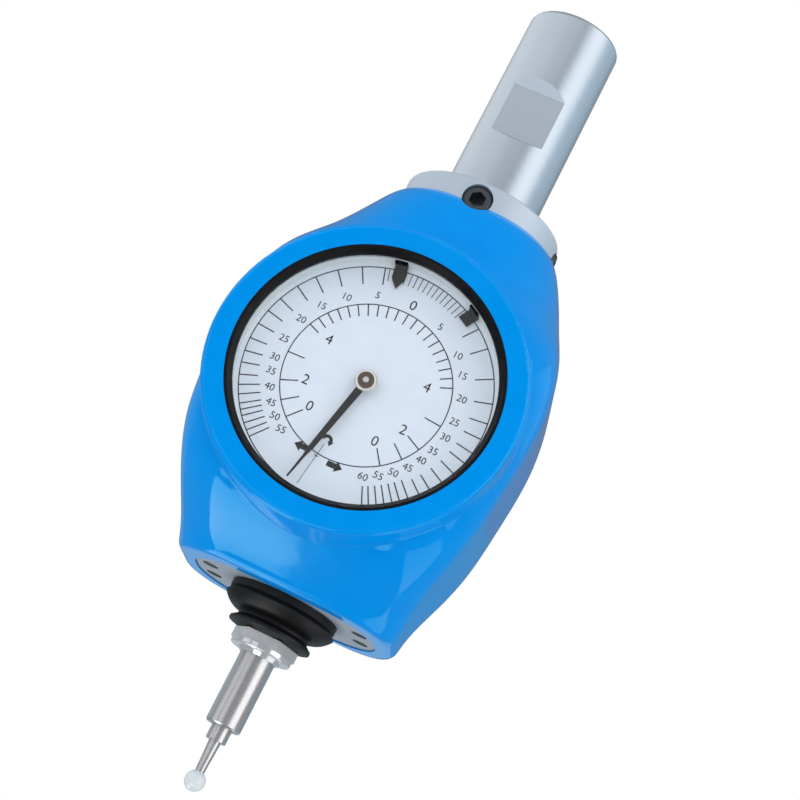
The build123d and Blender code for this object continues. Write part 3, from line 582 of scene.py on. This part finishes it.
# %% Floor
floor_z = -0.165
floor_half = 3.0
floor_mesh = bmesh.new()
bmesh.ops.create_grid(floor_mesh, x_segments=1, y_segments=1, size=floor_half)
floor_data = bpy.data.meshes.new("floor")
floor_mesh.to_mesh(floor_data)
floor_mesh.free()
floor = in_scene("floor", floor_data)
floor.location = (0.0, 0.0, floor_z)
floor_data.materials.append(finish("Pale paper sweep", ("#EDEEEF", "#F2F3F4"), (0.8, 0.9), 40.0, IOR=1.5))
floor.visible_glossy = False
floor.visible_diffuse = False
print("floor at z", floor_z)

# %% Helpers for the studio
room_centre = Vector((0.0, 0.0, -0.04))


def facing_tool(azimuth, elevation, distance):
    """The place in this direction, turned to the tool. Azimuth 0 is the dial's side, 90 its right."""
    a, e = radians(azimuth), radians(elevation)
    out = Vector((sin(a) * cos(e), -cos(a) * cos(e), sin(e)))
    turned = out.to_track_quat("Z", "Y").to_matrix().to_4x4()
    return Matrix.Translation(room_centre + out * distance) @ turned


def only_reflected(name, place, strength, colour):
    """A metre square that only reflections see, scaled by its place. At strength 0 it is a black flag."""
    mesh = bmesh.new()
    bmesh.ops.create_grid(mesh, x_segments=1, y_segments=1, size=0.5)
    data = bpy.data.meshes.new(name)
    mesh.to_mesh(data)
    mesh.free()
    piece = in_scene(name, data)
    piece.matrix_world = place
    material = bpy.data.materials.new(name)
    tree = emptied(material)
    glow = add(tree, "ShaderNodeEmission", {"Color": linear(colour), "Strength": strength})
    add(tree, "ShaderNodeOutputMaterial", links={"Surface": glow.outputs[0]})
    data.materials.append(material)
    piece.visible_camera = False
    piece.visible_diffuse = False
    piece.visible_shadow = False
    piece.visible_transmission = False


def card(name, azimuth, elevation, width, height, strength, colour="#FFFFFF", distance=1.5):
    """A card that faces the tool from this direction."""
    place = facing_tool(azimuth, elevation, distance) @ Matrix.Diagonal((width, height, 1.0, 1.0))
    only_reflected(name, place, strength, colour)


def card_below(name, across, along, strength, colour="#FFFFFF", depth=1.5):
    """A level card under the tool, from left to right and from front to back."""
    middle = Vector((sum(across) / 2, sum(along) / 2, -depth))
    size = Matrix.Diagonal((across[1] - across[0], along[1] - along[0], 1.0, 1.0))
    only_reflected(name, Matrix.Translation(middle) @ size, strength, colour)


def softbox(name, azimuth, elevation, size, watts, distance=0.9):
    """A large lamp for soft light that reflections don't see."""
    lamp = bpy.data.lights.new(name, "AREA")
    lamp.size = size
    lamp.energy = watts
    piece = in_scene(name, lamp)
    piece.matrix_world = facing_tool(azimuth, elevation, distance)
    piece.visible_glossy = False
    piece.visible_camera = False


# %% The studio's lamps, cards and flag
softbox("key_lamp", 40, 35, size=0.7, watts=0.9)
softbox("fill_lamp", -45, 15, size=0.8, watts=0.3)
card("right_softbox", 61, 20, 1.2, 2.3, 1.5)
card("right_wall", 110, 30, 1.5, 0.8, 0.65, "#C0E0F2")
card("left_wall", -105, 30, 1.75, 0.8, 0.95)
card("front_left_wall", -48, 32, 1.4, 0.6, 0.95)
card("front_wall", -6, 34, 0.9, 0.4, 1.0)
card("low_left_wall", -58, 0, 0.8, 0.5, 0.75)
card("low_left_strip", -23, -1, 0.64, 0.42, 1.0)
card("back_left_strip", -135, 0, 2.1, 0.7, 0.4, "#DCF2FA")
card("back_right_strip", 150, 0, 1.2, 0.7, 0.3, "#B0E4F8")
card("back_strip", 180, -20, 1.5, 0.6, 0.6, "#DCF2FA")
card("front_flag", -8, 15, 0.85, 0.36, 0.0)
card_below("low_left_softbox", (-0.82, -0.245), (-0.35, 0.9), 3.0)
card_below("low_middle_card", (-0.2, 0.75), (-0.6, 0.9), 0.1)
card_below("low_right_softbox", (0.8, 3.2), (-0.6, 0.9), 1.2)
card_below("low_front_card", (-0.75, 0.25), (-1.35, -0.62), 2.6)
print("studio ready")
